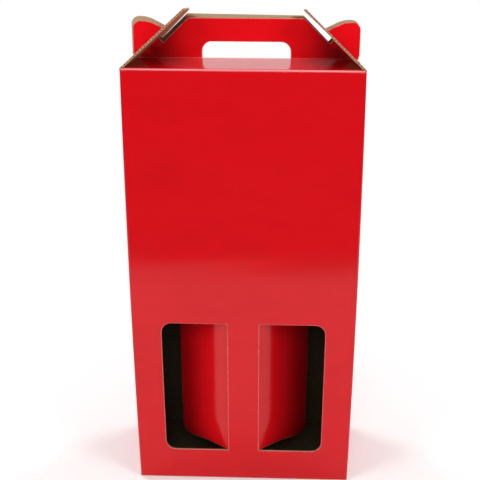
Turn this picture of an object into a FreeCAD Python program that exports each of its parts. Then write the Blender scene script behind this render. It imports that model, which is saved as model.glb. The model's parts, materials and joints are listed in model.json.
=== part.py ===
import FreeCAD, Part
import math
import os

# A carry box for two bottles, die cut from one sheet of fine corrugated board, folded and glued.
# All sizes are in millimetres. The origin is the middle of the base, +Z is up and the front faces -Y.

# the board
board = 1.5
outer_fold = 2.0
inner_fold = 0.5
layer_gap = 0.3

# the body: outside sizes, up to the top creases
box_width = 180.0
box_depth = 90.0
box_height = 350.0

# the two half lids and the handle panels that stand on them, back to back
lid_rise = 4.1
lid_end_gap = 3.3
handle_height = 30.1
handle_drift = 0.6
ridge_half_width = 44.7
ridge_corner = 1.5
bar_height = 17.6
hole_half_width = 34.4
hole_corner = 7.5

# the back panel was folded a little high and to the left, and highest at its left end
back_lift = 2.6
back_tilt = 0.6
back_shift = 1.3

# the ears that stand through the side flaps, and the notch between each ear's hook and the handle
ear_inset = 2.4
ear_height = 27.5
ear_corner = 6.0
brow_run = 6.5
brow_radius = 22.0
notch_foot_rise = 11.3
notch_foot_inset = 23.2
notch_width = 5.0
hook_length = 8.65

# the side flaps, which slope up over the lids from the side creases
flap_slope = 43.2
flap_length = 60.5
flap_tip_width = 32.0
flap_tip_corner = 4.0
flap_crease_gap = 0.15
flap_room = 0.4
slot_clearance = 0.8
slot_end_clearance = 1.4
slot_past_notch = 4.9

# the windows in the front, and the tabs that fold in from their inner edges, a little curled
centre_strip = 25.2
window_width = 53.4
window_height = 119.0
window_foot = 28.6
window_corner = 8.5
tab_length = 50.0
tab_angle = 38.0
tab_curl = 9.0
tab_end_gap = 0.4
tab_root = 4.0

# the base: front and back flaps meet below, side flaps lie above them
seam_place = -4.0
seam_gap = 0.5
base_side_length = 54.0
base_side_taper = 9.0
tongue_width = 52.0
tongue_length = 16.0

# the glued joint in the back corner
glue_flap = 32.0
glue_taper = 12.0
joint_gap = 0.6

# how far a cutting solid runs past what it cuts
past = 20.0

# outlines: corners flatter than this have no arc, and points nearer than this are one
nearly_straight = math.radians(89.5)
same_point = 1e-6

half_width = box_width / 2
half_depth = box_depth / 2
crease_height = box_height + lid_rise
ear_reach = half_width - ear_inset
notch_foot_reach = ear_reach - notch_foot_inset
side_foot = board + layer_gap
panel_face = layer_gap / 2 + board


def rounded(corners):
    """A closed flat wire through corners given as (point, radius), with arcs at the corners."""
    points = [FreeCAD.Vector(*point) for point, radius in corners]
    count = len(points)
    starts, ends, middles = [], [], []
    for i, (point, radius) in enumerate(corners):
        here = points[i]
        back = (points[i - 1] - here).normalize()
        ahead = (points[(i + 1) % count] - here).normalize()
        half_turn = back.getAngle(ahead) / 2
        if radius <= 0 or half_turn > nearly_straight:
            starts.append(here)
            ends.append(here)
            middles.append(None)
            continue
        run = radius / math.tan(half_turn)
        inward = (back + ahead).normalize()
        starts.append(here + back * run)
        ends.append(here + ahead * run)
        middles.append(here + inward * (radius / math.sin(half_turn) - radius))
    edges = []
    for i in range(count):
        if middles[i] is not None:
            edges.append(Part.Arc(starts[i], middles[i], ends[i]).toShape())
        following = starts[(i + 1) % count]
        if ends[i].distanceToPoint(following) > same_point:
            edges.append(Part.LineSegment(ends[i], following).toShape())
    return Part.Wire(edges)


def prism(corners, run):
    """The solid that a rounded outline sweeps along the vector run."""
    return Part.Face(rounded(corners)).extrude(FreeCAD.Vector(*run))


def box(low, high):
    """A plain block between two opposite corners."""
    size = [b - a for a, b in zip(low, high)]
    return Part.makeBox(*size, FreeCAD.Vector(*low))


def strip_edges(path, thickness):
    """The two long edges of a bent board in its cross section, the second one on the left of the path."""
    lefts = []
    for (ax, ay), (bx, by) in zip(path, path[1:]):
        length = math.hypot(bx - ax, by - ay)
        lefts.append((-(by - ay) / length * thickness, (bx - ax) / length * thickness))
    far = [(path[0][0] + lefts[0][0], path[0][1] + lefts[0][1])]
    for (px, py), (ax, ay), (bx, by) in zip(path[1:-1], lefts, lefts[1:]):
        share = thickness ** 2 / (thickness ** 2 + ax * bx + ay * by)
        far.append((px + (ax + bx) * share, py + (ay + by) * share))
    far.append((path[-1][0] + lefts[-1][0], path[-1][1] + lefts[-1][1]))
    return path, far


def bent_strip(path, thickness, place, run):
    """A board bent along a path of (u, v) points; place turns (u, v) into a point in space."""
    near, far = strip_edges(path, thickness)
    corners = [(near[0], 0)]
    turns = []
    for (ax, ay), (bx, by), (cx, cy) in zip(path, path[1:], path[2:]):
        turns.append((bx - ax) * (cy - by) - (by - ay) * (cx - bx) > 0)
    for point, left_turn in zip(near[1:-1], turns):
        corners.append((point, outer_fold if left_turn else inner_fold))
    corners += [(near[-1], 0), (far[-1], 0)]
    for point, left_turn in zip(far[-2:0:-1], turns[::-1]):
        corners.append((point, inner_fold if left_turn else outer_fold))
    corners.append((far[0], 0))
    return prism([(place(*point), radius) for point, radius in corners], run)


def mirrored(corners):
    """The same outline on the other side of the middle, in running order."""
    return [((-point[0], point[1]), radius) for point, radius in reversed(corners)]


def ear_outline(low):
    """The right ear with its hook and notch, from the crease to the ridge; low is the crease height."""
    foot = (notch_foot_reach, low + notch_foot_rise)
    ridge = (ridge_half_width, low + handle_height)
    slope = math.atan2(ridge[1] - foot[1], foot[0] - ridge[0])
    throat = (foot[0] + math.sin(slope) * notch_width, foot[1] + math.cos(slope) * notch_width)
    hook = (throat[0] - math.cos(slope) * hook_length, throat[1] + math.sin(slope) * hook_length)
    top = low + ear_height
    brow = (ear_reach - ear_corner - brow_run, top)
    return [((ear_reach, low), 0), ((ear_reach, top), ear_corner), (brow, brow_radius),
            (hook, inner_fold), (throat, inner_fold), (foot, inner_fold), (ridge, ridge_corner)]


def handle_outline(lift):
    """The outline of one handle panel with both ears, standing on its half lid and the wall below."""
    right = ear_outline(crease_height + lift)
    lid_end = half_width - lid_end_gap
    step = box_height - outer_fold
    side = [((half_width, -past), 0), ((half_width, step), 0), ((lid_end, step), 0),
            ((lid_end, crease_height), 0), ((ear_reach, crease_height), 0)]
    right = side + right[1:]
    return right + mirrored(right)


def hand_hole():
    """The opening for the fingers, down to the crease, through both handle panels."""
    top = crease_height + handle_height - bar_height
    return [((hole_half_width, crease_height), 0), ((hole_half_width, top), hole_corner),
            ((-hole_half_width, top), hole_corner), ((-hole_half_width, crease_height), 0)]


def window(side):
    """One window's outline in the front; side is 1 for the right one and -1 for the left one."""
    fold = side * centre_strip / 2
    outer = fold + side * window_width
    top = window_foot + window_height
    return [((fold, window_foot), 0), ((outer, window_foot), window_corner),
            ((outer, top), window_corner), ((fold, top), 0)]


def upright(corners, low, high):
    """A flat outline in X and Z, made solid from y = low to y = high."""
    return prism([((x, low, z), radius) for (x, z), radius in corners], (0, high - low, 0))


def main_sheet(facing, seam, lift, tilt):
    """Base flap, wall, half lid and handle panel in one bent board; facing is -1 for the front."""
    path = [(facing * seam, 0), (half_depth, 0), (half_depth, box_height),
            (panel_face, crease_height), (panel_face, crease_height + handle_height + 2 * past)]
    along_width = (box_width + 2 * past, 0, 0)
    sheet = bent_strip(path, board, lambda u, v: (-half_width - past, facing * u, v), along_width)
    outline = upright(handle_outline(lift), -box_depth, box_depth)
    if tilt:
        turned = outline.copy()
        turned.rotate(FreeCAD.Vector(0, 0, crease_height), FreeCAD.Vector(0, 1, 0), tilt)
        upper = box((-box_width, -past, crease_height + outer_fold), (box_width, past, 2 * box_height))
        outline = outline.cut(upper).fuse(turned.common(upper))
    return sheet.common(outline)


def handle_drifted(sheet, drift):
    """The handle panels stand a little off the middle: move all above the crease by drift."""
    upper = box((-box_width, -past, crease_height + outer_fold), (box_width, past, 2 * box_height))
    top = sheet.common(upper)
    top.translate(FreeCAD.Vector(drift, 0, 0))
    return sheet.cut(upper).fuse(top)


def side_sheet(side):
    """A side wall with its base flap; its top is cut on the line where the side flap's crease lies."""
    end = half_width - base_side_length
    path = [(end, side_foot), (half_width, side_foot), (half_width, box_height + past)]
    sheet = bent_strip(path, board, lambda u, v: (side * u, -half_depth, v), (0, box_depth, 0))
    inner = half_depth - board - layer_gap
    taper = inner - base_side_taper
    fold_top = side_foot + outer_fold
    root, outside = half_width - board, half_width + past
    flap = prism([((side * outside, -inner, 0), 0), ((side * root, -inner, 0), 0),
                  ((side * end, -taper, 0), outer_fold), ((side * end, taper, 0), outer_fold),
                  ((side * root, inner, 0), 0), ((side * outside, inner, 0), 0)], (0, 0, fold_top))
    wall = box((-half_width - past, -half_depth, fold_top), (half_width + past, half_depth, 2 * box_height))
    return sheet.common(flap.fuse(wall)).cut(above_crease(side, -flap_crease_gap))


def above_crease(side, lift):
    """All that lies over the mitre between a side wall and its flap, moved by lift along the flap."""
    slope = math.radians(flap_slope)
    mitre = (math.pi / 2 - slope) / 2
    crease = (half_width - lift * math.cos(slope), box_height + lift * math.sin(slope))
    outward = (crease[0] + past * math.cos(mitre), crease[1] + past * math.sin(mitre))
    inward = (crease[0] - box_width * math.cos(mitre), crease[1] - box_width * math.sin(mitre))
    corners = [outward, inward, (inward[0], 2 * box_height), (outward[0], 2 * box_height)]
    return prism([((side * x, -box_depth, z), 0) for x, z in corners], (0, 2 * box_depth, 0))


def flap_space(side):
    """The space that a side flap takes over the ends of the half lids, all but its slot."""
    slope = math.radians(flap_slope)
    drop = board + flap_room
    start = (half_width - drop * math.sin(slope), box_height - drop * math.cos(slope))
    run = flap_length + drop
    end = (start[0] - run * math.cos(slope), start[1] + run * math.sin(slope))
    outside, above = start[0] + past, 2 * box_height
    corners = [(outside, start[1]), start, end, (end[0], above), (outside, above)]
    space = prism([((side * x, -box_depth, z), 0) for x, z in corners], (0, 2 * box_depth, 0))
    root_half = panel_face + slot_clearance / 2
    ear_root = box((-box_width, -root_half, 0), (box_width, root_half, 2 * box_height))
    return space.cut(ear_root)


def side_flap(side):
    """One flap over the handle's ear, drawn flat in r along the slope and y, then sloped up."""
    root, tip = -board, flap_length
    half_tip = flap_tip_width / 2
    half_root = half_depth - inner_fold
    near = [((root, -half_root, 0), 0), ((0, -half_root, 0), 0), ((tip, -half_tip, 0), flap_tip_corner)]
    far = [((x, -y, z), radius) for (x, y, z), radius in reversed(near)]
    flat = prism(near + far, (0, 0, -board))
    slot_half = panel_face + slot_clearance
    rise = math.cos(math.radians(flap_slope))
    slot_start = (ear_inset - slot_end_clearance) / rise
    slot_end = (half_width - notch_foot_reach + slot_past_notch) / rise
    slot = box((slot_start, -slot_half, -2 * board), (slot_end, slot_half, board))
    flap = flat.cut(slot)
    flap.rotate(FreeCAD.Vector(), FreeCAD.Vector(0, 1, 0), -flap_slope)
    flap.translate(FreeCAD.Vector(-half_width, 0, box_height))
    if side > 0:
        flap = flap.mirror(FreeCAD.Vector(), FreeCAD.Vector(1, 0, 0))
    return flap.common(above_crease(side, flap_crease_gap))


def window_tab(side):
    """The piece cut from a window, folded in at the centre strip and a little curled."""
    fold = centre_strip / 2
    turn = math.radians(tab_angle)
    end_turn = math.radians(tab_angle - tab_curl)
    half = tab_length / 2
    bend = (fold + half * math.cos(turn), -half_depth + half * math.sin(turn))
    end = (bend[0] + half * math.cos(end_turn), bend[1] + half * math.sin(end_turn))
    start = (fold - tab_root, -half_depth)
    near, far = strip_edges([start, (fold, -half_depth), bend, end], board)
    soft = tab_length
    corners = [(near[0], 0), (near[1], inner_fold), (near[2], soft), (near[3], 0),
               (far[3], 0), (far[2], soft), (far[1], 0), (far[0], 0)]
    low = window_foot + tab_end_gap
    height = window_height - 2 * tab_end_gap
    plan = prism([((side * x, y, low), radius) for (x, y), radius in corners], (0, 0, height))
    reach = math.hypot(end[0], end[1] + half_depth)
    face = [((-past, low), 0), ((reach, low), window_corner), ((reach, low + height), window_corner),
            ((-past, low + height), 0)]
    trim = upright(face, -past, past + half_depth)
    trim.translate(FreeCAD.Vector(end[0] - reach, -half_depth, 0))
    if side < 0:
        trim = trim.mirror(FreeCAD.Vector(), FreeCAD.Vector(1, 0, 0))
    return plan.common(trim)


def tongue():
    """The tongue of the front base flap, pushed over the back flap's edge."""
    half = tongue_width / 2
    near, far = seam_place - seam_gap, seam_place + tongue_length
    level = side_foot
    step = box((-half, near - board, board / 2), (half, near, level + board))
    plate = prism([((-half, near - board, level), 0), ((half, near - board, level), 0),
                   ((half, far, level), ear_corner), ((-half, far, level), ear_corner)], (0, 0, board))
    return step.fuse(plate)


def glue_joint():
    """The narrow flap of the left wall, glued inside the back wall."""
    left = -half_width + board
    back = half_depth - board
    top, foot = box_height - past, side_foot + past
    return prism([((left, back, foot), 0), ((left + glue_flap, back, foot + glue_taper), 0),
                  ((left + glue_flap, back, top - glue_taper), 0), ((left, back, top), 0)], (0, -board, 0))


def make_carton():
    """The folded sheet without its two side flaps, as one solid."""
    front = handle_drifted(main_sheet(-1, -seam_place, 0, 0), handle_drift)
    back = handle_drifted(main_sheet(1, seam_place, back_lift, back_tilt), handle_drift - back_shift)
    shell = front.fuse([back, side_sheet(-1), side_sheet(1)])
    rounding = prism([((x * half_width, y * half_depth, -past), outer_fold)
                      for x, y in ((-1, -1), (1, -1), (1, 1), (-1, 1))], (0, 0, 2 * box_height))
    shell = shell.common(rounding)
    seam = box((-box_width, seam_place - seam_gap, -past), (box_width, seam_place, board + layer_gap / 2))
    hole = upright([((x + handle_drift, z), radius) for (x, z), radius in hand_hole()], -past, past)
    joint = box((-half_width + board, half_depth - board, side_foot),
                (-half_width + board + joint_gap, half_depth + past, box_height - outer_fold))
    shell = shell.cut([seam, hole, joint])
    for side in (-1, 1):
        pane = upright(window(side), -half_depth - past, -half_depth + 2 * board)
        shell = shell.cut([pane, flap_space(side).common(above_crease(side, -flap_crease_gap))])
    shell = shell.fuse([window_tab(-1), window_tab(1), tongue(), glue_joint()])
    return shell.removeSplitter()


def export(shape, name):
    solids = shape.Solids
    print(name, "solids", len(solids), "valid", shape.isValid(), "volume", round(shape.Volume, 1))
    solid = solids[0] if len(solids) == 1 else Part.Compound(solids)
    solid.exportStep(os.path.join("parts", name + ".step"))


os.makedirs("parts", exist_ok=True)
export(make_carton(), "carton")
export(side_flap(-1), "left_side_flap")
export(side_flap(1), "right_side_flap")
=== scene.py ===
"""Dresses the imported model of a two-bottle carry box in gloss laminated corrugated board.

Sizes are in metres, in the model's own frame: the origin is the middle of the base and the
front faces -Y.
"""

import json
import math

import bmesh
import bpy
from bpy.props import FloatProperty, FloatVectorProperty, PointerProperty
from bpy.types import Operator, Panel, PropertyGroup
from mathutils import Matrix, Vector
from mathutils.bvhtree import BVHTree

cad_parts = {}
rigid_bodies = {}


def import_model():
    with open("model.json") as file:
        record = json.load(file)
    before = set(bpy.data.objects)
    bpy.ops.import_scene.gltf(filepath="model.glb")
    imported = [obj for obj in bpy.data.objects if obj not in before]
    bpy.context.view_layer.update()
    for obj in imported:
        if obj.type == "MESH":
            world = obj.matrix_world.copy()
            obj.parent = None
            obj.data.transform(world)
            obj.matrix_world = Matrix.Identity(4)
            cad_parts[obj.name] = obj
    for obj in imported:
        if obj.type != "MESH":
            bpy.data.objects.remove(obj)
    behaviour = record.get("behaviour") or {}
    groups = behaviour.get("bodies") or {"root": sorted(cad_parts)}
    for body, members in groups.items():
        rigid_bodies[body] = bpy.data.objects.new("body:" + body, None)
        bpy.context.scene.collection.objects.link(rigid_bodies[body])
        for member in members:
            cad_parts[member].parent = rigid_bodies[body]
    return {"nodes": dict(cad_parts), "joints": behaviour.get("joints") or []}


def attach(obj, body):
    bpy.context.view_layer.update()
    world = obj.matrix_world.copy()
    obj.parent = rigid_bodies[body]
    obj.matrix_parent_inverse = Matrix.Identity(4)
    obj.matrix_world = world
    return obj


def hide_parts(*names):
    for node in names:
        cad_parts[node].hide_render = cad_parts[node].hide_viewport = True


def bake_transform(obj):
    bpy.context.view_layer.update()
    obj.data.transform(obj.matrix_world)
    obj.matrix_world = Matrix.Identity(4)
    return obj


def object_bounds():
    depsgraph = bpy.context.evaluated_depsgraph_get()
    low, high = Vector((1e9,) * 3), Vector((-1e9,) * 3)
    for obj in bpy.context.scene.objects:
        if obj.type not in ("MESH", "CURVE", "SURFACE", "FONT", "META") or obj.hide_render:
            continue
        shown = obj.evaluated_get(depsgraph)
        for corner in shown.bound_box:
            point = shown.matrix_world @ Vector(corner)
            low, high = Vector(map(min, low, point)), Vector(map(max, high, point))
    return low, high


bl_info = {
    "name": "Two-bottle carry box",
    "version": (1, 0, 0),
    "blender": (4, 5, 0),
    "location": "View3D > Sidebar > Carry box",
    "description": "Gives a windowed carry box its laminated board, its stage and its camera",
    "category": "Add Mesh",
}


def clear_startup_scene():
    """The startup file's own objects would count as pieces of the box."""
    for startup_object in list(bpy.data.objects):
        bpy.data.objects.remove(startup_object)


clear_startup_scene()
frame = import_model()
CAD_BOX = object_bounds()

# the faces of a board, as the order of a piece's materials
RED, KRAFT, CUT, WORN = range(4)

HINGES = {joint["child"]: Vector(joint["pos_m"]) for joint in frame["joints"]}
HALF_WIDTH = HINGES["right_flap"].x
WALL_TOP = HINGES["right_flap"].z
HALF_DEPTH = CAD_BOX[1][1]
MIDDLE = Vector((0, 0, WALL_TOP / 2))

# how far out from the middle an ear starts, a window tab folds in and a window ends
EAR_FOOT = 0.66 * HALF_WIDTH
TAB_FOLD = 0.0126
WINDOW_END = 0.075
# the height of the windows' lower and upper edges
WINDOW_SILL, WINDOW_HEAD = 0.028, 0.149

# faces that turn less than this from one to the next are one flat face
FLAT = math.radians(0.4)
# how far a film stands off the board that it covers
FILM_GAP = 0.00006


class CarryBoxBoard(PropertyGroup):
    """The board: its flutes, its edges and how it has settled."""

    flute_pitch: FloatProperty(
        name="Flute pitch", description="Distance from one flute to the next",
        default=0.0026, min=0.001, unit="LENGTH")
    skin_reach: FloatProperty(
        name="Skin reach",
        description="A face with less board than this behind it is a skin, not a cut edge",
        default=0.0036, unit="LENGTH")
    worn_width: FloatProperty(
        name="Worn width", description="Width of the pale line along a cut edge of the red side",
        default=0.00035, unit="LENGTH")
    worn_drop: FloatProperty(
        name="Worn drop", description="How far the die pressed the red side down at a cut edge",
        default=0.00014, unit="LENGTH")
    grid: FloatProperty(
        name="Grid", description="Size of the mesh squares that let the walls bulge",
        default=0.0075, min=0.002, unit="LENGTH")
    bulge: FloatProperty(
        name="Bulge", description="How far the middle of a large wall stands out",
        default=0.0007, unit="LENGTH")
    swell: FloatProperty(
        name="Swell", description="How much the box has widened on each side at mid height",
        default=0.0012, unit="LENGTH")
    ripple: FloatProperty(
        name="Ripple", description="Height of the faint waves across the front",
        default=0.00010, unit="LENGTH")
    ripple_place: FloatProperty(
        name="Ripple place", description="Height on the front where the waves lie",
        default=0.198, unit="LENGTH")
    ripple_length: FloatProperty(
        name="Ripple length", description="Distance from one wave to the next",
        default=0.011, unit="LENGTH")
    left_tab_turn: FloatProperty(
        name="Left tab's turn",
        description="How far the left window tab has moved in from its drawn angle",
        default=math.radians(-2.0), subtype="ANGLE")
    right_tab_turn: FloatProperty(
        name="Right tab's turn",
        description="How far the right window tab has moved in from its drawn angle",
        default=math.radians(1.8), subtype="ANGLE")
    wall_layer: FloatProperty(
        name="Wall layer", description="How deep behind a wall's face the bulge still acts",
        default=0.02, unit="LENGTH")
    crease_skin: FloatProperty(
        name="Crease skin",
        description="How far the film over a side flap's crease reaches to each side of it",
        default=0.0022, unit="LENGTH")
    left_flap_dip: FloatProperty(
        name="Left flap's dip",
        description="How far the left flap's back corner hangs below its front corner",
        default=0.0004, unit="LENGTH")
    right_flap_dip: FloatProperty(
        name="Right flap's dip",
        description="How far the right flap's back corner hangs below its front corner",
        default=0.0007, unit="LENGTH")


class CarryBoxFinish(PropertyGroup):
    """Colours and gloss of the board's faces, among them the painted shade and light of the liner,
    the flutes' hollows and the folds.
    """

    laminate: FloatVectorProperty(
        name="Laminate", description="The red gloss laminate outside",
        default=(0.66, 0.0045, 0.009), size=3, subtype="COLOR", min=0, max=1)
    laminate_deep: FloatVectorProperty(
        name="Laminate, deep", description="The red where the film is a little darker",
        default=(0.60, 0.0035, 0.007), size=3, subtype="COLOR", min=0, max=1)
    laminate_roughness: FloatProperty(
        name="Laminate roughness", description="Roughness of the gloss film",
        default=0.09, min=0, max=1, subtype="FACTOR")
    laminate_specular: FloatProperty(
        name="Laminate specular", description="Strength of the film's reflection seen head on",
        default=0.3, min=0, max=1, subtype="FACTOR")
    # mostly a painted highlight, where the rounded folds at the walls' top catch the light, and
    # partly paler stretched film
    crease: FloatVectorProperty(
        name="Crease", description="The paler line where the film is stretched over a fold",
        default=(0.86, 0.24, 0.27), size=3, subtype="COLOR", min=0, max=1)
    # partly the paper's own brown and partly a painted red glow, for the light that the red film
    # throws under the flaps
    liner: FloatVectorProperty(
        name="Liner", description="The brown paper under the flaps",
        default=(0.50, 0.23, 0.11), size=3, subtype="COLOR", min=0, max=1)
    # painted shade: the liner darkened deep inside the box, where little light reaches
    liner_painted_shade: FloatVectorProperty(
        name="Liner, dark", description="The brown paper deep inside the box",
        default=(0.060, 0.042, 0.020), size=3, subtype="COLOR", min=0, max=1)
    # painted light: the liner as it looks in full light, used on the ears and the ridge where the
    # shade is below 0
    liner_painted_light: FloatVectorProperty(
        name="Liner, in the open",
        description="The brown paper of the ears and the ridge, in full light",
        default=(0.47, 0.35, 0.20), size=3, subtype="COLOR", min=0, max=1)
    medium: FloatVectorProperty(
        name="Fluting", description="The paper of a cut edge",
        default=(0.46, 0.32, 0.20), size=3, subtype="COLOR", min=0, max=1)
    # painted shade: the dark inside the flutes' hollows
    hollow: FloatVectorProperty(
        name="Hollow", description="The shade inside the flutes",
        default=(0.075, 0.040, 0.022), size=3, subtype="COLOR", min=0, max=1)
    worn: FloatVectorProperty(
        name="Worn", description="The pale fibre that shows where the film was cut",
        default=(0.70, 0.30, 0.27), size=3, subtype="COLOR", min=0, max=1)


class CarryBoxStage(PropertyGroup):
    """The floor, the light and the camera."""

    camera_place: FloatVectorProperty(
        name="Camera", description="Where the camera stands",
        default=(0.03078, -0.60077, 0.40834), size=3, subtype="XYZ", unit="LENGTH")
    camera_pitch: FloatProperty(
        name="Pitch", description="How far the camera looks down", default=0.3266, subtype="ANGLE")
    camera_yaw: FloatProperty(
        name="Yaw",
        description="How far the camera is turned to the left", default=0.0245, subtype="ANGLE")
    camera_roll: FloatProperty(
        name="Roll", description="How far the camera leans", default=0.0075, subtype="ANGLE")
    lens: FloatProperty(
        name="Lens", description="Focal length in millimetres on a 36 mm sensor", default=56.5)
    shift: FloatProperty(
        name="Shift", description="The lens shift of the photograph's framing", default=-0.052)
    floor_size: FloatProperty(
        name="Floor size", description="Side of the floor", default=12.0, unit="LENGTH")
    clear_from: FloatProperty(
        name="Clear from",
        description="Distance from the box at which the floor starts to fade to plain white",
        default=0.16, unit="LENGTH")
    clear_at: FloatProperty(
        name="Clear at", description="Distance from the box at which the floor is plain white",
        default=0.42, unit="LENGTH")
    floor_colour: FloatVectorProperty(
        name="Floor colour", description="The pale floor",
        default=(0.93, 0.93, 0.93), size=3, subtype="COLOR", min=0, max=1)
    ambient: FloatProperty(
        name="Ambient", description="Light from all round, for matt surfaces", default=0.11)
    side_power: FloatProperty(
        name="Side lamps", description="Power of each large soft lamp in front, left and right",
        default=7.7, unit="POWER")
    front_power: FloatProperty(
        name="Front lamp", description="Power of the large soft lamp over the camera",
        default=4.5, unit="POWER")
    top_power: FloatProperty(
        name="Top lamp",
        description="Power of the large soft lamp overhead", default=9.5, unit="POWER")
    back_power: FloatProperty(
        name="Back lamps", description="Power of each soft lamp behind, left and right",
        default=8.5, unit="POWER")
    side_turn: FloatProperty(
        name="Side lamps' turn",
        description="How far the front lamps stand round from straight ahead",
        default=math.radians(54), subtype="ANGLE")
    side_rise: FloatProperty(
        name="Side lamps' rise", description="How high the front lamps stand over the box's middle",
        default=math.radians(34), subtype="ANGLE")
    side_distance: FloatProperty(
        name="Side lamps' distance",
        description="How far the side lamps stand from the box's middle",
        default=1.5, unit="LENGTH")
    flag_from: FloatProperty(
        name="Flag's foot",
        description="Where the dark flag in front starts, ahead of the box's middle",
        default=0.56, unit="LENGTH")
    flag_size: FloatVectorProperty(
        name="Flag",
        description="Width, depth and rise of the dark flag",
        default=(5.0, 1.4, 0.62), size=3, subtype="XYZ", unit="LENGTH")


def board_sizes():
    """The board's settings in the current scene."""
    return bpy.context.scene.carry_box_board


def finish_colours():
    """The finish settings in the current scene."""
    return bpy.context.scene.carry_box_finish


def smooth_step(value):
    """0 below 0, 1 above 1 and a soft rise between."""
    value = min(max(value, 0.0), 1.0)
    return value * value * (3 - 2 * value)


def soft_rise(value, start, length):
    """0 up to the start, 1 from a length after it, and a soft rise between."""
    return smooth_step((value - start) / length)


# Shader node groups


def start_group(name, inputs, outputs):
    """An empty shader group with its sockets; returns the tree, its input and its output node."""
    tree = bpy.data.node_groups.new(name, "ShaderNodeTree")
    for socket, kind, default in inputs:
        made = tree.interface.new_socket(name=socket, in_out="INPUT", socket_type=kind)
        if default is not None:
            made.default_value = default
    for socket, kind in outputs:
        tree.interface.new_socket(name=socket, in_out="OUTPUT", socket_type=kind)
    return tree, tree.nodes.new("NodeGroupInput"), tree.nodes.new("NodeGroupOutput")


def math_node(tree, operation, first, second=None, third=None):
    """A Math node fed by sockets or plain numbers; returns its output."""
    node = tree.nodes.new("ShaderNodeMath")
    node.operation = operation
    for slot, value in zip(node.inputs, (first, second, third)):
        if value is None:
            continue
        if isinstance(value, (int, float)):
            slot.default_value = value
        else:
            tree.links.new(value, slot)
    return node.outputs[0]


def noise_node(tree, vector, scale, detail, roughness=0.5):
    """A Noise texture's factor at a vector socket."""
    node = tree.nodes.new("ShaderNodeTexNoise")
    tree.links.new(vector, node.inputs["Vector"])
    if isinstance(scale, (int, float)):
        node.inputs["Scale"].default_value = scale
    else:
        tree.links.new(scale, node.inputs["Scale"])
    node.inputs["Detail"].default_value = detail
    node.inputs["Roughness"].default_value = roughness
    return node.outputs["Fac"]


def stretched(tree, vector, scale):
    """A vector socket scaled by three plain numbers."""
    node = tree.nodes.new("ShaderNodeVectorMath")
    node.operation = "MULTIPLY"
    tree.links.new(vector, node.inputs[0])
    node.inputs[1].default_value = scale
    return node.outputs[0]


def span(tree, value, low, high, to_low=0.0, to_high=1.0):
    """A value socket taken from one range to another and held inside it."""
    node = tree.nodes.new("ShaderNodeMapRange")
    node.clamp = True
    tree.links.new(value, node.inputs["Value"])
    ends = {"From Min": low, "From Max": high, "To Min": to_low, "To Max": to_high}
    for socket, number in ends.items():
        node.inputs[socket].default_value = number
    return node.outputs["Result"]


def mixed(tree, factor, first, second):
    """A colour between two, which are sockets or plain colours."""
    node = tree.nodes.new("ShaderNodeMix")
    node.data_type = "RGBA"
    tree.links.new(factor, node.inputs["Factor"])
    sockets = [socket for socket in node.inputs if socket.type == "RGBA"]
    for socket, colour in zip(sockets, (first, second)):
        if isinstance(colour, bpy.types.NodeSocket):
            tree.links.new(colour, socket)
        else:
            socket.default_value = (*colour, 1.0)
    return next(socket for socket in node.outputs if socket.type == "RGBA")


def flute_group():
    """Where the flutes show through a skin or in a cut edge, from the distance up the sheet, and
    where the painted crease highlight lies.
    """
    # heights in the board are shares of its thickness, 0 at the brown skin and 1 at the red one
    mid_board, medium_swing = 0.5, 0.30
    medium_face, hollow_full = 0.09, 0.16
    hollow_end, liner_face = 0.30, 0.40
    # the width of the painted highlight along the folds at the walls' top
    crease_line, crease_end = 0.0006, 0.0013
    tree, start, end = start_group(
        "Flutes",
        [("Height", "NodeSocketFloat", 0.0), ("Across", "NodeSocketFloat", 0.5),
         ("Pitch", "NodeSocketFloat", board_sizes().flute_pitch)],
        [("Washboard", "NodeSocketFloat"), ("Hollow", "NodeSocketFloat"),
         ("Crease", "NodeSocketFloat")])
    height, across = start.outputs["Height"], start.outputs["Across"]
    turns = math_node(tree, "DIVIDE", height, start.outputs["Pitch"])
    wave = math_node(tree, "COSINE", math_node(tree, "MULTIPLY", turns, 2 * math.pi))
    washboard = math_node(tree, "MULTIPLY_ADD", wave, 0.5, 0.5)
    tree.links.new(washboard, end.inputs["Washboard"])
    medium = math_node(tree, "MULTIPLY_ADD", wave, medium_swing, mid_board)
    over_medium = math_node(tree, "SUBTRACT", across, medium)
    off_medium = span(tree, over_medium, medium_face, hollow_full)
    off_middle = math_node(tree, "ABSOLUTE", math_node(tree, "SUBTRACT", across, mid_board))
    off_liners = span(tree, off_middle, hollow_end, liner_face, 1.0, 0.0)
    hollow = math_node(tree, "MULTIPLY", off_medium, off_liners)
    tree.links.new(hollow, end.inputs["Hollow"])
    # the painted highlight along the folds at the walls' top
    from_fold = math_node(tree, "ABSOLUTE", math_node(tree, "SUBTRACT", height, WALL_TOP))
    crease = span(tree, from_fold, crease_line, crease_end, 1.0, 0.0)
    tree.links.new(crease, end.inputs["Crease"])
    return tree


def fibre_group():
    """Short paper fibres that cross each other, as a mask."""
    long_way, short_way = (350.0, 900.0, 1100.0), (1000.0, 400.0, 600.0)
    faint_fibre, full_fibre = 0.12, 0.40
    tree, start, end = start_group(
        "Paper fibres",
        [("Place", "NodeSocketVector", None), ("Fineness", "NodeSocketFloat", 1.0)],
        [("Fibres", "NodeSocketFloat")])
    place, fineness = start.outputs["Place"], start.outputs["Fineness"]
    along = stretched(tree, place, long_way)
    over = stretched(tree, place, short_way)
    first = noise_node(tree, along, fineness, detail=3.0, roughness=0.6)
    second = noise_node(tree, over, fineness, detail=2.0, roughness=0.6)
    crossing = math_node(tree, "MULTIPLY", first, second)
    tree.links.new(span(tree, crossing, faint_fibre, full_fibre), end.inputs["Fibres"])
    return tree


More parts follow.
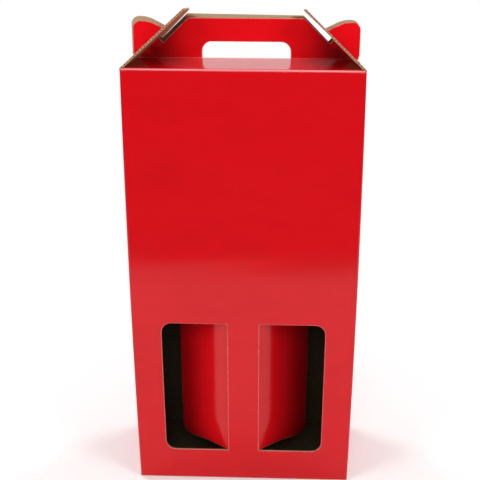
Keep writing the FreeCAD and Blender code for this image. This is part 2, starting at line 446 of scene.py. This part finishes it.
def handling_group():
    """Faint smears from handling and the film's fine unevenness, as two masks."""
    smear_stretch = (14.0, 14.0, 30.0)
    faint_smear, full_smear = 0.45, 0.75
    tree, start, end = start_group(
        "Handling", [("Place", "NodeSocketVector", None)],
        [("Smears", "NodeSocketFloat"), ("Peel", "NodeSocketFloat")])
    place = start.outputs["Place"]
    wiped = stretched(tree, place, smear_stretch)
    smears = noise_node(tree, wiped, scale=1.0, detail=5.0, roughness=0.65)
    tree.links.new(span(tree, smears, faint_smear, full_smear), end.inputs["Smears"])
    peel = noise_node(tree, place, scale=420.0, detail=2.0)
    tree.links.new(peel, end.inputs["Peel"])
    return tree


def shared_group(name):
    """The node group of that name, built on its first use."""
    builders = {"Flutes": flute_group, "Paper fibres": fibre_group, "Handling": handling_group}
    return bpy.data.node_groups.get(name) or builders[name]()


# Materials


def start_material(name):
    """A new material with its tree and its shader."""
    material = bpy.data.materials.new(name)
    material.use_nodes = True
    return material, material.node_tree, material.node_tree.nodes["Principled BSDF"]


def placed_group(tree, name):
    """A shared group placed in a material, fed with the place on the object."""
    node = tree.nodes.new("ShaderNodeGroup")
    node.node_tree = shared_group(name)
    if "Place" in node.inputs:
        place = tree.nodes.new("ShaderNodeTexCoord")
        tree.links.new(place.outputs["Object"], node.inputs["Place"])
    for socket, attribute in (("Height", "sheet_height"), ("Across", "across")):
        if socket in node.inputs:
            reader = tree.nodes.new("ShaderNodeAttribute")
            reader.attribute_name = attribute
            tree.links.new(reader.outputs["Fac"], node.inputs[socket])
    return node


def shade_reader(tree):
    """How far light is kept out, as painted shade: 1 deep inside, 0 outside and below 0 where light
    is painted in.
    """
    reader = tree.nodes.new("ShaderNodeAttribute")
    reader.attribute_name = "shade"
    return reader.outputs["Fac"]


def shaded(tree, colour):
    """A colour socket darkened by the painted shade at each place, and lightened where the shade is
    below 0.
    """
    taken_at_one = 0.5
    lit = tree.nodes.new("ShaderNodeVectorMath")
    lit.operation = "SCALE"
    tree.links.new(colour, lit.inputs[0])
    light = math_node(tree, "MULTIPLY_ADD", shade_reader(tree), -taken_at_one, 1.0)
    tree.links.new(light, lit.inputs["Scale"])
    return lit.outputs[0]


def bumped(tree, shader, height, distance):
    """Feeds the shader's normal from a height socket; distance is the relief in metres."""
    node = tree.nodes.new("ShaderNodeBump")
    node.inputs["Distance"].default_value = distance
    tree.links.new(height, node.inputs["Height"])
    tree.links.new(node.outputs["Normal"], shader.inputs["Normal"])


def laminate_material():
    """Red gloss film over the liner: flutes just show through it, with painted shade and light and
    a painted highlight on the folds.
    """
    smear_roughness, peel_share = 0.05, 0.35
    colours = finish_colours()
    material, tree, shader = start_material("Red gloss laminate")
    flutes = placed_group(tree, "Flutes")
    handling = placed_group(tree, "Handling")
    smears, peel = handling.outputs["Smears"], handling.outputs["Peel"]
    film = mixed(tree, smears, colours.laminate, colours.laminate_deep)
    # a painted highlight along the folds, mixed into the film's colour
    film_with_crease_highlight = mixed(tree, flutes.outputs["Crease"], film, colours.crease)
    # painted shade and light: the film darkened in the tabs, the lid's and handle's corners and the
    # slanted cut, and lightened on the handle's middle and the ears
    tree.links.new(shaded(tree, film_with_crease_highlight), shader.inputs["Base Color"])
    rough = math_node(tree, "MULTIPLY_ADD", smears, smear_roughness, colours.laminate_roughness)
    tree.links.new(rough, shader.inputs["Roughness"])
    shader.inputs["Specular IOR Level"].default_value = colours.laminate_specular
    relief = math_node(tree, "MULTIPLY_ADD", peel, peel_share, flutes.outputs["Washboard"])
    bumped(tree, shader, relief, distance=0.000006)
    return material


def kraft_material():
    """The brown liner with painted shade and light: dark deep inside, plain under the flaps and
    pale in full light.
    """
    full_light, speck_share, fibre_relief = -0.3, 0.12, 0.5
    colours = finish_colours()
    material, tree, shader = start_material("Brown kraft liner")
    fibres = placed_group(tree, "Paper fibres").outputs["Fibres"]
    flutes = placed_group(tree, "Flutes")
    # painted shade and light: the liner darkened inside the box and made paler on the ears and the
    # ridge
    shade = shade_reader(tree)
    painted_light_share = span(tree, shade, full_light, 0.0, 1.0, 0.0)
    liner_with_painted_shade = mixed(tree, shade, colours.liner, colours.liner_painted_shade)
    paper = mixed(tree, painted_light_share, liner_with_painted_shade, colours.liner_painted_light)
    specks = math_node(tree, "MULTIPLY", fibres, speck_share)
    tree.links.new(mixed(tree, specks, paper, colours.medium), shader.inputs["Base Color"])
    shader.inputs["Roughness"].default_value = 0.82
    shader.inputs["Specular IOR Level"].default_value = 0.2
    relief = math_node(
        tree, "MULTIPLY_ADD", fibres, fibre_relief, flutes.outputs["Washboard"])
    bumped(tree, shader, relief, distance=0.00004)
    return material


def cut_edge_material():
    """A cut edge: two liners with the wavy medium between them and hollows painted dark as shade.
    """
    colours = finish_colours()
    material, tree, shader = start_material("Cut edge")
    flutes = placed_group(tree, "Flutes")
    fibres = placed_group(tree, "Paper fibres")
    paper = mixed(tree, fibres.outputs["Fibres"], colours.medium, colours.liner)
    colour = mixed(tree, flutes.outputs["Hollow"], paper, colours.hollow)
    # painted shade: the cut edges darken where the shade is set, most toward the brown side below
    # the lid and in the handle's slanted cut
    tree.links.new(shaded(tree, colour), shader.inputs["Base Color"])
    shader.inputs["Roughness"].default_value = 0.9
    shader.inputs["Specular IOR Level"].default_value = 0.15
    relief = math_node(tree, "SUBTRACT", fibres.outputs["Fibres"], flutes.outputs["Hollow"])
    bumped(tree, shader, relief, distance=0.0002)
    return material


def worn_material():
    """The pale line where the film was cut and the white fibre shows."""
    colours = finish_colours()
    material, tree, shader = start_material("Worn film edge")
    fibres = placed_group(tree, "Paper fibres")
    colour = mixed(tree, fibres.outputs["Fibres"], colours.worn, colours.laminate)
    tree.links.new(colour, shader.inputs["Base Color"])
    shader.inputs["Roughness"].default_value = 0.35
    return material


def board_materials():
    """The four materials of a board, in the order RED, KRAFT, CUT, WORN, built on first use."""
    builders = {"Red gloss laminate": laminate_material, "Brown kraft liner": kraft_material,
                "Cut edge": cut_edge_material, "Worn film edge": worn_material}
    return [bpy.data.materials.get(name) or build() for name, build in builders.items()]


# The board's mesh


def read_board(node):
    """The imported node's mesh, its corners joined, as an editable copy."""
    board = bmesh.new()
    board.from_mesh(frame["nodes"][node].data)
    bmesh.ops.remove_doubles(board, verts=board.verts, dist=1e-6)
    bmesh.ops.dissolve_degenerate(board, edges=board.edges, dist=1e-7)
    return board


def flat_groups(board, most_turn):
    """Faces gathered into flat regions."""
    left = set(board.faces)
    while left:
        region = [left.pop()]
        for face in region:
            for edge in face.edges:
                for other in edge.link_faces:
                    if other in left and face.normal.angle(other.normal, math.pi) < most_turn:
                        left.remove(other)
                        region.append(other)
        yield region


def sort_faces(board, sizes):
    """Marks each face as red skin, brown skin or cut edge, from the board's depth behind it."""
    tree = BVHTree.FromBMesh(board)
    probe_gap = 1e-5
    for region in flat_groups(board, FLAT):
        thin = outward = whole = 0.0
        for face in region:
            area = face.calc_area()
            middle = face.calc_center_median()
            start = middle - face.normal * probe_gap
            hit = tree.ray_cast(start, -face.normal, sizes.skin_reach)
            whole += area
            thin += area if hit[0] is not None else 0.0
            outward += area * face.normal.dot(middle - MIDDLE)
        kind = CUT
        if thin > whole / 2:
            kind = RED if outward > 0 else KRAFT
        for face in region:
            face.material_index = kind


def near_hinge(point, reach):
    """Whether a point lies on the crease between a side wall and its flap."""
    return abs(point.z - WALL_TOP) < reach and abs(abs(point.x) - HALF_WIDTH) < reach


def wear_edges(board, sizes):
    """A narrow pale strip along each cut edge of the red side, pressed down at the cut."""
    red = [face for face in board.faces if face.material_index == RED]
    made = bmesh.ops.inset_region(
        board, faces=red, thickness=sizes.worn_width, depth=0,
        use_boundary=True, use_even_offset=False)
    crease_reach = 4 * sizes.worn_width + 0.001
    drops = {}
    for face in made["faces"]:
        if near_hinge(face.calc_center_median(), crease_reach):
            face.material_index = RED
            continue
        face.material_index = WORN
        for vert in face.verts:
            if any(other.material_index == CUT for other in vert.link_faces):
                drops.setdefault(vert, []).append(face.normal.copy())
    for vert, normals in drops.items():
        lean = sum(normals, Vector()).normalized()
        vert.co -= lean * sizes.worn_drop


def measure_sheet(board, height_at):
    """Writes how far up the sheet each corner lies, and on which side of the board."""
    height = board.verts.layers.float.new("sheet_height")
    across = board.verts.layers.float.new("across")
    for vert in board.verts:
        vert[height] = height_at(vert.co)
        red = any(face.material_index in (RED, WORN) for face in vert.link_faces)
        vert[across] = 1.0 if red else 0.0


def divide(board, step):
    """Cuts the mesh into squares, so that it can bend."""
    low = Vector(min(vert.co[axis] for vert in board.verts) for axis in range(3))
    high = Vector(max(vert.co[axis] for vert in board.verts) for axis in range(3))
    for axis in range(3):
        normal = Vector([1.0 if axis == other else 0.0 for other in range(3)])
        count = int((high[axis] - low[axis]) / step)
        for number in range(1, count + 1):
            point = normal * (low[axis] + (number - 0.5) * (high[axis] - low[axis]) / count)
            everything = board.verts[:] + board.edges[:] + board.faces[:]
            bmesh.ops.bisect_plane(board, geom=everything, plane_co=point, plane_no=normal)


def start_board(node, height_at, sizes):
    """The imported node's mesh with its faces sorted, its edges worn and its squares cut."""
    board = read_board(node)
    sort_faces(board, sizes)
    bmesh.ops.dissolve_limit(
        board, angle_limit=FLAT, verts=board.verts, edges=board.edges, delimit={"MATERIAL"})
    wear_edges(board, sizes)
    measure_sheet(board, height_at)
    divide(board, sizes.grid)
    return board


def make_piece(board, name):
    """The finished mesh as an object with the board's materials and soft folds."""
    sharp = math.radians(33)
    for edge in board.edges:
        if len(edge.link_faces) != 2:
            continue
        first, second = edge.link_faces
        kinds = {first.material_index, second.material_index}
        at_cut = len(kinds) == 2 and CUT in kinds
        edge.smooth = edge.calc_face_angle(math.pi) < sharp and not at_cut
    for face in board.faces:
        face.smooth = True
    mesh = bpy.data.meshes.new(name)
    board.to_mesh(mesh)
    board.free()
    for material in board_materials():
        mesh.materials.append(material)
    piece = bpy.data.objects.new(name, mesh)
    bpy.context.scene.collection.objects.link(piece)
    weighted = piece.modifiers.new("Flat faces lead", "WEIGHTED_NORMAL")
    weighted.keep_sharp = True
    weighted.weight = 80
    return piece


def carton_height(point):
    """How far up the sheet a point of the carton lies, over the wall, the lid and the handle."""
    base_top, lid_start, handle_half = 0.0035, WALL_TOP - 0.0005, 0.0025
    if point.z < base_top:
        return abs(point.y) - HALF_DEPTH
    if point.z < lid_start:
        return point.z
    if abs(point.y) > handle_half:
        return WALL_TOP + HALF_DEPTH - abs(point.y)
    return HALF_DEPTH + point.z


def shade_board(board):
    """Writes the painted shade and light of the tabs, the inside, the half lids and the handle: how
    far light is kept from them.
    """
    shade = board.verts.layers.float.new("shade")
    for vert in board.verts:
        on_film = any(face.material_index in (RED, WORN) for face in vert.link_faces)
        vert[shade] = carton_shade(vert.co, on_film)


def in_window(point):
    """Whether a point lies in or behind a window, where the tabs are."""
    beside_strip = TAB_FOLD < abs(point.x) < WINDOW_END
    return beside_strip and point.y < 0 and WINDOW_SILL < point.z < WINDOW_HEAD


def tab_shade(point):
    """The painted shade on a window tab, which grows from its fold to its far end; the left tab is
    painted lighter near its fold.
    """
    deep = HALF_DEPTH - abs(point.y)
    if point.x > 0:
        far_end = 1.6
        return far_end * soft_rise(deep, start=0.0005, length=0.030)
    # painted light near the left tab's fold
    far_end, near_light = 1.25, 0.22
    grown = (far_end + near_light) * soft_rise(deep, start=0.008, length=0.024)
    return grown - near_light * soft_rise(deep, start=0.0, length=0.002)


def lid_shade(point, under_flap):
    """The painted shade on a half lid, darkest in its corners under the side flaps."""
    open_part, corner = 0.25, 1.30
    past_crease = soft_rise(HALF_DEPTH - abs(point.y), start=0.001, length=0.003)
    return (open_part + (corner - open_part) * under_flap) * past_crease


def handle_shade(point, under_flap):
    """The painted shade on the handle: dark in its corners and its slanted cut, lit on the ears and
    in its middle by painted light.
    """
    ear, slant, corner = -0.5, 1.4, 1.2
    # painted light in the handle's middle, stronger at its foot than at its top
    foot_light, top_light = 0.75, 0.40
    flap_slope = 1.12
    out, up = abs(point.x), point.z - WALL_TOP
    if HALF_WIDTH - out < flap_slope * up and out > EAR_FOOT:
        return ear
    # the slanted cut: a point on it, and the direction square to it
    slant_out, slant_up = 0.0447, 0.0342
    square_out, square_up = 0.69, 0.724
    beyond_slant = square_out * (out - slant_out) + square_up * (up - slant_up)
    slant_width, between_panels, under_ridge = 0.005, 0.001, 0.0355
    if beyond_slant > -slant_width and abs(point.y) < between_panels and up < under_ridge:
        return slant
    light = foot_light - (foot_light - top_light) * soft_rise(up, start=0.012, length=0.020)
    return corner * under_flap - light * (1 - under_flap)


def carton_shade(point, on_film):
    """The painted shade at a point: 1 where the light is halved, 0 on the open faces, and below 0
    where painted light gathers.
    """
    crease_half, crease_room, handle_half = 0.001, 0.004, 0.003
    up = point.z - WALL_TOP
    if up < -crease_half:
        # painted shade: every brown inner face below the lid is fully shaded
        if not on_film:
            return 1.0
        return tab_shade(point) if in_window(point) else 0.0
    from_corner = math.hypot(HALF_WIDTH - abs(point.x), max(up - crease_room, 0))
    under_flap = 1 - soft_rise(from_corner, start=0.018, length=0.036)
    if abs(point.y) > handle_half:
        return lid_shade(point, under_flap)
    return handle_shade(point, under_flap)


def flap_height(point):
    """How far up the sheet a point of a side flap lies."""
    return WALL_TOP + math.hypot(HALF_WIDTH - abs(point.x), point.z - WALL_TOP)


def turn_tabs(board, sizes):
    """Turns the window tabs a little about their folds, as they came to rest unevenly."""
    inner_face = 0.0016 - HALF_DEPTH
    far_share = 0.45
    for vert in board.verts:
        x, y = vert.co.xy
        if not in_window(vert.co) or y < inner_face:
            continue
        out, deep = abs(x) - TAB_FOLD, y + HALF_DEPTH
        along = math.hypot(out, deep)
        turn = sizes.right_tab_turn if x > 0 else sizes.left_tab_turn
        turn *= soft_rise(along, start=0.002, length=0.004)
        if turn < 0:
            turn *= 1 - (1 - far_share) * soft_rise(along, start=0.016, length=0.034)
        turned_out = out * math.cos(turn) - deep * math.sin(turn)
        vert.co.x = math.copysign(TAB_FOLD + turned_out, x)
        vert.co.y = out * math.sin(turn) + deep * math.cos(turn) - HALF_DEPTH


def settled(point, sizes):
    """A point of the carton moved as the walls have settled."""
    up = point.z / WALL_TOP
    if not 0 < up < 1:
        return point
    side_share, ripple_reach, ripple_lean = 0.6, 1.2, 3
    rise = 4 * up * (1 - up)
    front_layer = smooth_step(1 - (HALF_DEPTH - abs(point.y)) / sizes.wall_layer)
    side_layer = smooth_step(1 - (HALF_WIDTH - abs(point.x)) / sizes.wall_layer)
    across, deep = point.x / HALF_WIDTH, point.y / HALF_DEPTH
    push_y = sizes.bulge * rise
    if point.y < 0:
        waves = (point.z - sizes.ripple_place) / sizes.ripple_length
        near_ripple = math.exp(-(waves / ripple_reach) ** 2)
        push_y += sizes.ripple * near_ripple * math.cos(2 * math.pi * waves + ripple_lean * across)
    push_y *= 1 - across ** 2
    push_x = side_share * sizes.bulge * rise * (1 - deep ** 2)
    outward_x, outward_y = math.copysign(1, point.x), math.copysign(1, point.y)
    moved = point.copy()
    moved.y += outward_y * front_layer * push_y
    moved.x += outward_x * side_layer * push_x + sizes.swell * rise * across
    return moved


def dip_flap(board, dip):
    """Twists a side flap, so that its back corner hangs lower than its front corner."""
    length = max(HALF_WIDTH - abs(vert.co.x) for vert in board.verts)
    rise = max(vert.co.z for vert in board.verts) - WALL_TOP
    outward = math.copysign(1, sum(vert.co.x for vert in board.verts))
    inward = Vector((-outward * rise, 0, -length)).normalized()
    for vert in board.verts:
        along = max(HALF_WIDTH - abs(vert.co.x), 0) / length
        behind = 0.5 + 0.5 * min(max(3 * vert.co.y / HALF_DEPTH, -1), 1)
        vert.co += inward * dip * along ** 2 * behind


def crease_skin(side, sizes):
    """The film over the crease between a side wall and its flap, as a narrow open strip."""
    flap = frame["nodes"][side + "_side_flap"].data
    tip = max((vert.co for vert in flap.vertices), key=lambda point: point.z)
    outward = -1 if side == "left" else 1
    crease = Vector((outward * HALF_WIDTH, 0, WALL_TOP))
    up = Vector((0, 0, 1))
    along = (Vector((abs(tip.x) * outward, 0, tip.z)) - crease).normalized()
    lift = Vector((outward * abs(along.z), 0, abs(along.x)))
    wall_face = crease + Vector((outward * FILM_GAP, 0, 0))
    flap_face = crease + lift * FILM_GAP
    reach, end_room = sizes.crease_skin, 0.0012
    rows = [wall_face - up * reach, wall_face - up * reach / 4, wall_face + up * FILM_GAP,
            flap_face + along * reach / 4, flap_face + along * reach]
    board = bmesh.new()
    half, count = HALF_DEPTH - end_room, 24
    for number in range(count + 1):
        for row in rows:
            board.verts.new(row + Vector((0, half * (2 * number / count - 1), 0)))
    board.verts.ensure_lookup_table()
    wide = len(rows)
    for number in range(count):
        for column in range(wide - 1):
            first = number * wide + column
            corners = [board.verts[first + step] for step in (0, 1, wide + 1, wide)]
            board.faces.new(corners if side == "left" else corners[::-1])
    measure_sheet(board, flap_height)
    skin = make_piece(board, side + "_crease_film")
    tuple(rows[1])
    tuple(rows[3])
    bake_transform(skin)


def corner_films(side):
    """The folded film that closes the two top corners of a side wall, under its flap's crease."""
    outward = -1 if side == "left" else 1
    fold = 0.002
    lap = 1.6 * fold
    # the height over the wall's top and the growth of the fold's radius, from below upwards
    rings = [(-0.0022, FILM_GAP), (-0.0012, FILM_GAP - 0.0001), (-0.0005, -0.0005),
             (-0.0001, -0.0014)]
    board = bmesh.new()
    for end in (-1, 1):
        made = []
        for level, grow in rings:
            reach = fold + grow
            bend = reach * math.sqrt(0.5)
            outline = ((reach, -fold), (reach, 0), (bend, bend), (0, reach), (-lap, reach))
            made.append([
                board.verts.new((outward * (HALF_WIDTH - fold + across),
                                 end * (HALF_DEPTH - fold + ahead), WALL_TOP + level))
                for across, ahead in outline])
        for lower, upper in zip(made, made[1:]):
            for first in range(len(lower) - 1):
                corners = [lower[first], lower[first + 1], upper[first + 1], upper[first]]
                board.faces.new(corners if outward * end > 0 else corners[::-1])
        board.faces.new(made[-1] if outward * end > 0 else made[-1][::-1])
    measure_sheet(board, carton_height)
    film = make_piece(board, side + "_corner_film")
    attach(film, "carton")


class CARRYBOX_OT_carton(Operator):
    """Dress the carton: walls, half lids, handle, ears, window tabs and base"""

    bl_idname = "carry_box.carton"
    bl_label = "Carton"

    def execute(self, context):
        sizes = board_sizes()
        board = start_board("carton", carton_height, sizes)
        shade_board(board)
        turn_tabs(board, sizes)
        for vert in board.verts:
            vert.co = settled(vert.co, sizes)
        piece = make_piece(board, "carton_board")
        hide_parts("carton")
        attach(piece, "carton")
        return {"FINISHED"}


class CARRYBOX_OT_side_flaps(Operator):
    """Dress the two side flaps that lock over the ears, with the film at their creases"""

    bl_idname = "carry_box.side_flaps"
    bl_label = "Side flaps"

    def execute(self, context):
        sizes = board_sizes()
        for side in ("left", "right"):
            node = side + "_side_flap"
            board = start_board(node, flap_height, sizes)
            dip_flap(board, sizes.left_flap_dip if side == "left" else sizes.right_flap_dip)
            piece = make_piece(board, side + "_flap_board")
            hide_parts(node)
            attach(piece, side + "_flap")
            crease_skin(side, sizes)
            corner_films(side)
        return {"FINISHED"}


# The stage


def camera_turn(stage):
    """The camera's axes from its pitch, yaw and roll."""
    pitch, yaw, roll = stage.camera_pitch, stage.camera_yaw, stage.camera_roll
    right = Vector((math.cos(yaw), math.sin(yaw), 0))
    up = Vector((
        -math.sin(yaw) * math.sin(pitch), math.cos(yaw) * math.sin(pitch), math.cos(pitch)))
    ahead = Vector((
        -math.sin(yaw) * math.cos(pitch), math.cos(yaw) * math.cos(pitch), -math.sin(pitch)))
    across = math.cos(roll) * right + math.sin(roll) * up
    over = math.cos(roll) * up - math.sin(roll) * right
    return Matrix((across, over, -ahead)).transposed().to_4x4()


def add_camera(stage):
    """The camera at the photograph's viewing angle."""
    data = bpy.data.cameras.new("Camera")
    data.lens = stage.lens
    data.sensor_width = 36
    data.shift_x = stage.shift
    data.clip_start = 0.01
    camera = bpy.data.objects.new("Camera", data)
    camera.matrix_world = Matrix.Translation(stage.camera_place) @ camera_turn(stage)
    bpy.context.scene.collection.objects.link(camera)
    bpy.context.scene.camera = camera


def lamp_place(turn, rise, distance):
    """A point round the box's middle: turn goes from straight ahead to the right, rise upwards."""
    level = distance * math.cos(rise)
    offset = (level * math.sin(turn), -level * math.cos(turn), distance * math.sin(rise))
    return MIDDLE + Vector(offset)


def add_lamp(name, place, size, power):
    """A large soft lamp that looks at the middle of the box."""
    data = bpy.data.lights.new(name, "AREA")
    data.shape = "DISK"
    data.size = size
    data.energy = power
    lamp = bpy.data.objects.new(name, data)
    lamp.location = place
    lamp.rotation_euler = (MIDDLE - Vector(place)).to_track_quat("-Z", "Y").to_euler()
    bpy.context.scene.collection.objects.link(lamp)


def add_flag(stage):
    """A dark card low in front, which only the gloss of the film reflects."""
    width, depth, rise = stage.flag_size
    near, low = -stage.flag_from, 0.001
    half, far = width / 2, near - depth
    corners = [(-half, near, low), (half, near, low), (half, far, rise), (-half, far, rise)]
    mesh = bpy.data.meshes.new("flag")
    mesh.from_pydata(corners, [], [(0, 1, 2, 3)])
    flag = bpy.data.objects.new("flag", mesh)
    bpy.context.scene.collection.objects.link(flag)
    material, _, shader = start_material("Dark flag")
    shader.inputs["Base Color"].default_value = (0.03, 0.03, 0.03, 1)
    shader.inputs["Specular IOR Level"].default_value = 0.0
    mesh.materials.append(material)
    flag.visible_camera = False
    flag.visible_diffuse = False
    flag.visible_shadow = False


def add_floor(stage):
    """A plain pale floor that keeps the box's shadow."""
    half = stage.floor_size / 2
    corners = [(-half, -half, 0), (half, -half, 0), (half, half, 0), (-half, half, 0)]
    mesh = bpy.data.meshes.new("floor")
    mesh.from_pydata(corners, [], [(0, 1, 2, 3)])
    floor = bpy.data.objects.new("floor", mesh)
    bpy.context.scene.collection.objects.link(floor)
    material, tree, shader = start_material("Pale floor")
    shader.inputs["Base Color"].default_value = (*stage.floor_colour, 1)
    shader.inputs["Roughness"].default_value = 0.9
    shader.inputs["Specular IOR Level"].default_value = 0.0
    place = tree.nodes.new("ShaderNodeTexCoord")
    distance = tree.nodes.new("ShaderNodeVectorMath")
    distance.operation = "LENGTH"
    tree.links.new(place.outputs["Object"], distance.inputs[0])
    far = span(tree, distance.outputs["Value"], stage.clear_from, stage.clear_at)
    path = tree.nodes.new("ShaderNodeLightPath")
    white = tree.nodes.new("ShaderNodeEmission")
    blend = tree.nodes.new("ShaderNodeMixShader")
    tree.links.new(math_node(tree, "MULTIPLY", far, path.outputs["Is Camera Ray"]), blend.inputs[0])
    tree.links.new(shader.outputs[0], blend.inputs[1])
    tree.links.new(white.outputs[0], blend.inputs[2])
    tree.links.new(blend.outputs[0], tree.nodes["Material Output"].inputs["Surface"])
    mesh.materials.append(material)


def light_world(stage):
    """White to the eye and in reflections, and a lower even light on matt surfaces."""
    world = bpy.data.worlds.new("Studio")
    bpy.context.scene.world = world
    world.use_nodes = True
    tree = world.node_tree
    background = tree.nodes["Background"]
    background.inputs["Color"].default_value = (1, 1, 1, 1)
    path = tree.nodes.new("ShaderNodeLightPath")
    seen = math_node(tree, "MAXIMUM", path.outputs["Is Camera Ray"], path.outputs["Is Glossy Ray"])
    seen = math_node(tree, "MAXIMUM", seen, path.outputs["Is Transmission Ray"])
    strength = span(tree, seen, 0.0, 1.0, stage.ambient, 1.0)
    tree.links.new(strength, background.inputs["Strength"])


class CARRYBOX_OT_stage(Operator):
    """Set the floor, the lamps, the world and the camera"""

    bl_idname = "carry_box.stage"
    bl_label = "Stage"

    def execute(self, context):
        stage = context.scene.carry_box_stage
        add_floor(stage)
        light_world(stage)
        add_flag(stage)
        turn, rise, distance = stage.side_turn, stage.side_rise, stage.side_distance
        lamp_size, top_size, top_place = 0.7, 1.3, (0.0, 0.1, 1.9)
        for side, name in ((-1, "left"), (1, "right")):
            front = lamp_place(side * turn, rise, distance)
            back = lamp_place(math.pi - side * turn, rise, distance)
            add_lamp("Front lamp " + name, front, lamp_size, stage.side_power)
            add_lamp("Back lamp " + name, back, lamp_size, stage.back_power)
        add_lamp("Top lamp", top_place, top_size, stage.top_power)
        add_lamp("Front lamp", lamp_place(0, rise, distance), lamp_size, stage.front_power)
        add_camera(stage)
        context.scene.view_settings.view_transform = "Standard"
        return {"FINISHED"}


class CARRYBOX_PT_sidebar(Panel):
    """The steps and settings of the carry box"""

    bl_idname = "CARRYBOX_PT_sidebar"
    bl_label = "Carry box"
    bl_space_type = "VIEW_3D"
    bl_region_type = "UI"
    bl_category = "Carry box"

    def draw(self, context):
        layout = self.layout
        for step in STEPS:
            layout.operator(step.bl_idname)
        for group in SETTINGS:
            settings = getattr(context.scene, group)
            column = layout.column(align=True)
            for name in settings.bl_rna.properties.keys():
                if name not in ("rna_type", "name"):
                    column.prop(settings, name)


SETTINGS = {
    "carry_box_board": CarryBoxBoard,
    "carry_box_finish": CarryBoxFinish,
    "carry_box_stage": CarryBoxStage,
}
STEPS = (CARRYBOX_OT_carton, CARRYBOX_OT_side_flaps, CARRYBOX_OT_stage)


def register():
    for kind in (*SETTINGS.values(), *STEPS, CARRYBOX_PT_sidebar):
        bpy.utils.register_class(kind)
    for name, settings in SETTINGS.items():
        setattr(bpy.types.Scene, name, PointerProperty(type=settings))


def unregister():
    for name in SETTINGS:
        delattr(bpy.types.Scene, name)
    for kind in reversed((*SETTINGS.values(), *STEPS, CARRYBOX_PT_sidebar)):
        bpy.utils.unregister_class(kind)


def main():
    register()
    bpy.ops.carry_box.carton()
    bpy.ops.carry_box.side_flaps()
    bpy.ops.carry_box.stage()


if __name__ == "__main__":
    main()
